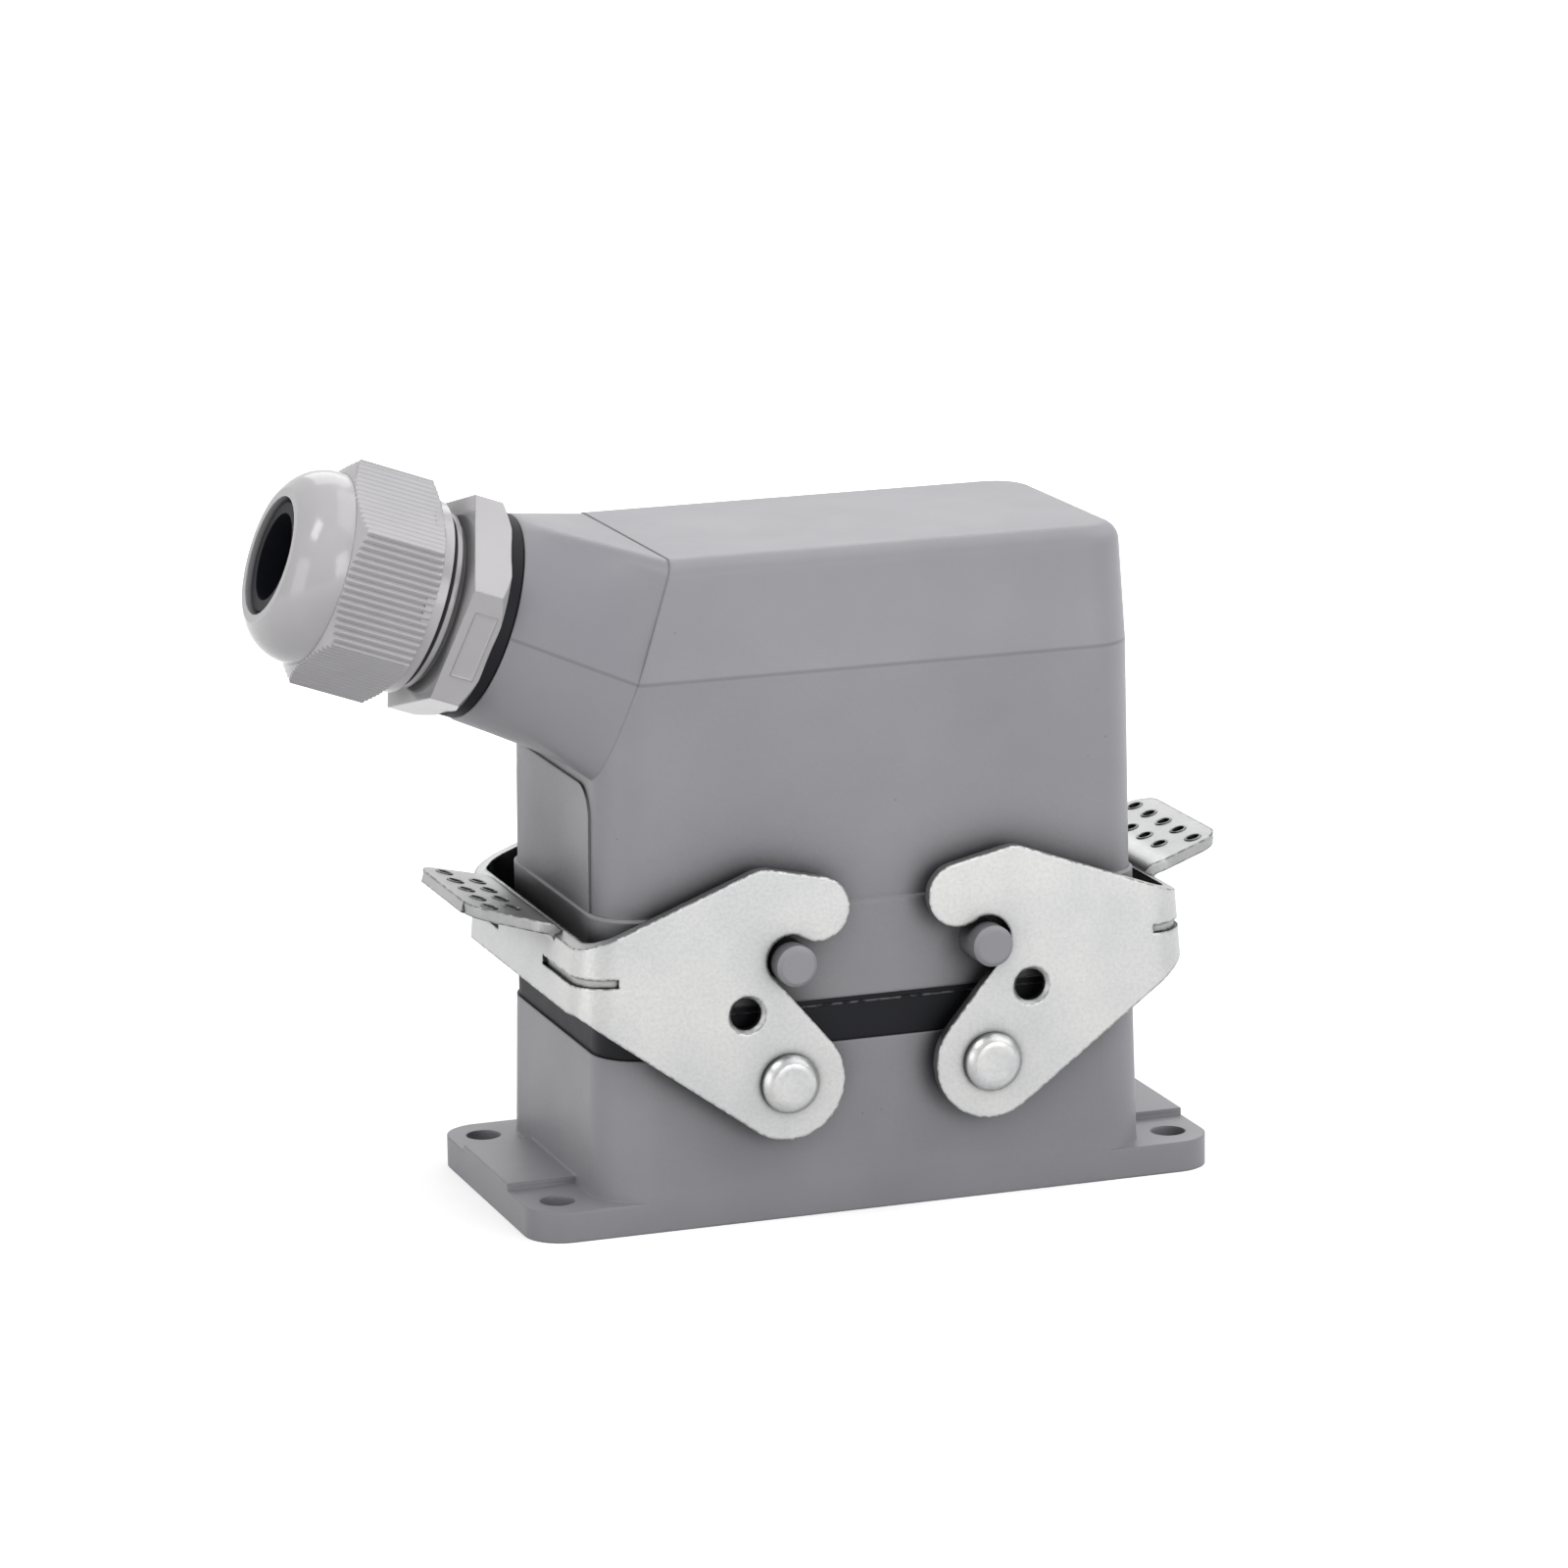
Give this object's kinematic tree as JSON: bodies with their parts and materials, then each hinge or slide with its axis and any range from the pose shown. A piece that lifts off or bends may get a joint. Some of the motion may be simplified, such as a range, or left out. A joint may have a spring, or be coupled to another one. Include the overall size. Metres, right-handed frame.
{
  "type": "heavy duty rectangular connector",
  "caption": "Closed rectangular industrial connector: flanged base with side locking levers, tall hood with angled cable neck and plastic cable gland.",
  "frame": {"origin": "centre of the four panel holes, on the underside of the flange", "axes": "+Z out of the panel through the hood's top; +X along the long side, away from the cable gland; -Y is the front"},
  "size_m": [0.1258, 0.0552, 0.0972],
  "materials": {
    "housing_coating": "grey powder coating on die-cast aluminium, fine orange peel",
    "seal_rubber": "moulded black nitrile rubber",
    "lever_steel": "zinc-plated pressed steel sheet",
    "pin_steel": "bright turned steel",
    "insert_plastic": "moulded glass-filled polycarbonate",
    "contact_metal": "silver-plated copper alloy",
    "screw_steel": "zinc-plated steel",
    "gland_plastic": "light grey moulded polyamide, satin"
  },
  "bodies": {
    "root": {"base_housing": "housing_coating", "flange_gasket": "seal_rubber", "mating_seal": "seal_rubber", "hood": "housing_coating", "pivot_pin_left_front": "pin_steel", "pivot_pin_left_rear": "pin_steel", "pivot_pin_right_front": "pin_steel", "pivot_pin_right_rear": "pin_steel", "socket_insert": "insert_plastic", "pin_insert": "insert_plastic", "socket_contacts": "contact_metal", "pin_contacts": "contact_metal", "socket_terminal_screws": "screw_steel", "pin_terminal_screws": "screw_steel", "socket_insert_screws": "screw_steel", "pin_insert_screws": "screw_steel", "base_earth_plates": "contact_metal", "hood_earth_plates": "contact_metal", "base_earth_screws": "screw_steel", "hood_earth_screws": "screw_steel", "gland_washer": "seal_rubber", "gland_body": "gland_plastic"},
    "lever_left": {"lever_left": "lever_steel"},
    "lever_right": {"lever_right": "lever_steel"},
    "gland_clamp": {"gland_claw": "gland_plastic", "gland_seal": "seal_rubber"},
    "gland_nut": {"gland_nut": "gland_plastic"}
  },
  "joints": [
    {"name": "lever_left_pivot", "type": "hinge", "parent": "root", "child": "lever_left", "pos_m": [-0.0136, 0, 0.0187], "axis": [0, -1, 0], "range_deg": [0, 42]},
    {"name": "lever_right_pivot", "type": "hinge", "parent": "root", "child": "lever_right", "pos_m": [0.0136, 0, 0.0187], "axis": [0, 1, 0], "range_deg": [0, 42]},
    {"name": "gland_clamp_travel", "type": "slide", "parent": "root", "child": "gland_clamp", "axis": [-0.9397, 0, 0.342], "range_m": [0, 0.00225]},
    {"name": "gland_nut_turn", "type": "hinge", "parent": "gland_clamp", "child": "gland_nut", "pos_m": [-0.06284, 0, 0.08276], "axis": [-0.9397, 0, 0.342], "range_deg": [0, 540]}
  ],
  "couplings": [
    {"joint": "gland_clamp_travel", "follows": "gland_nut_turn", "m_per_rad": 0.00023873}
  ]
}
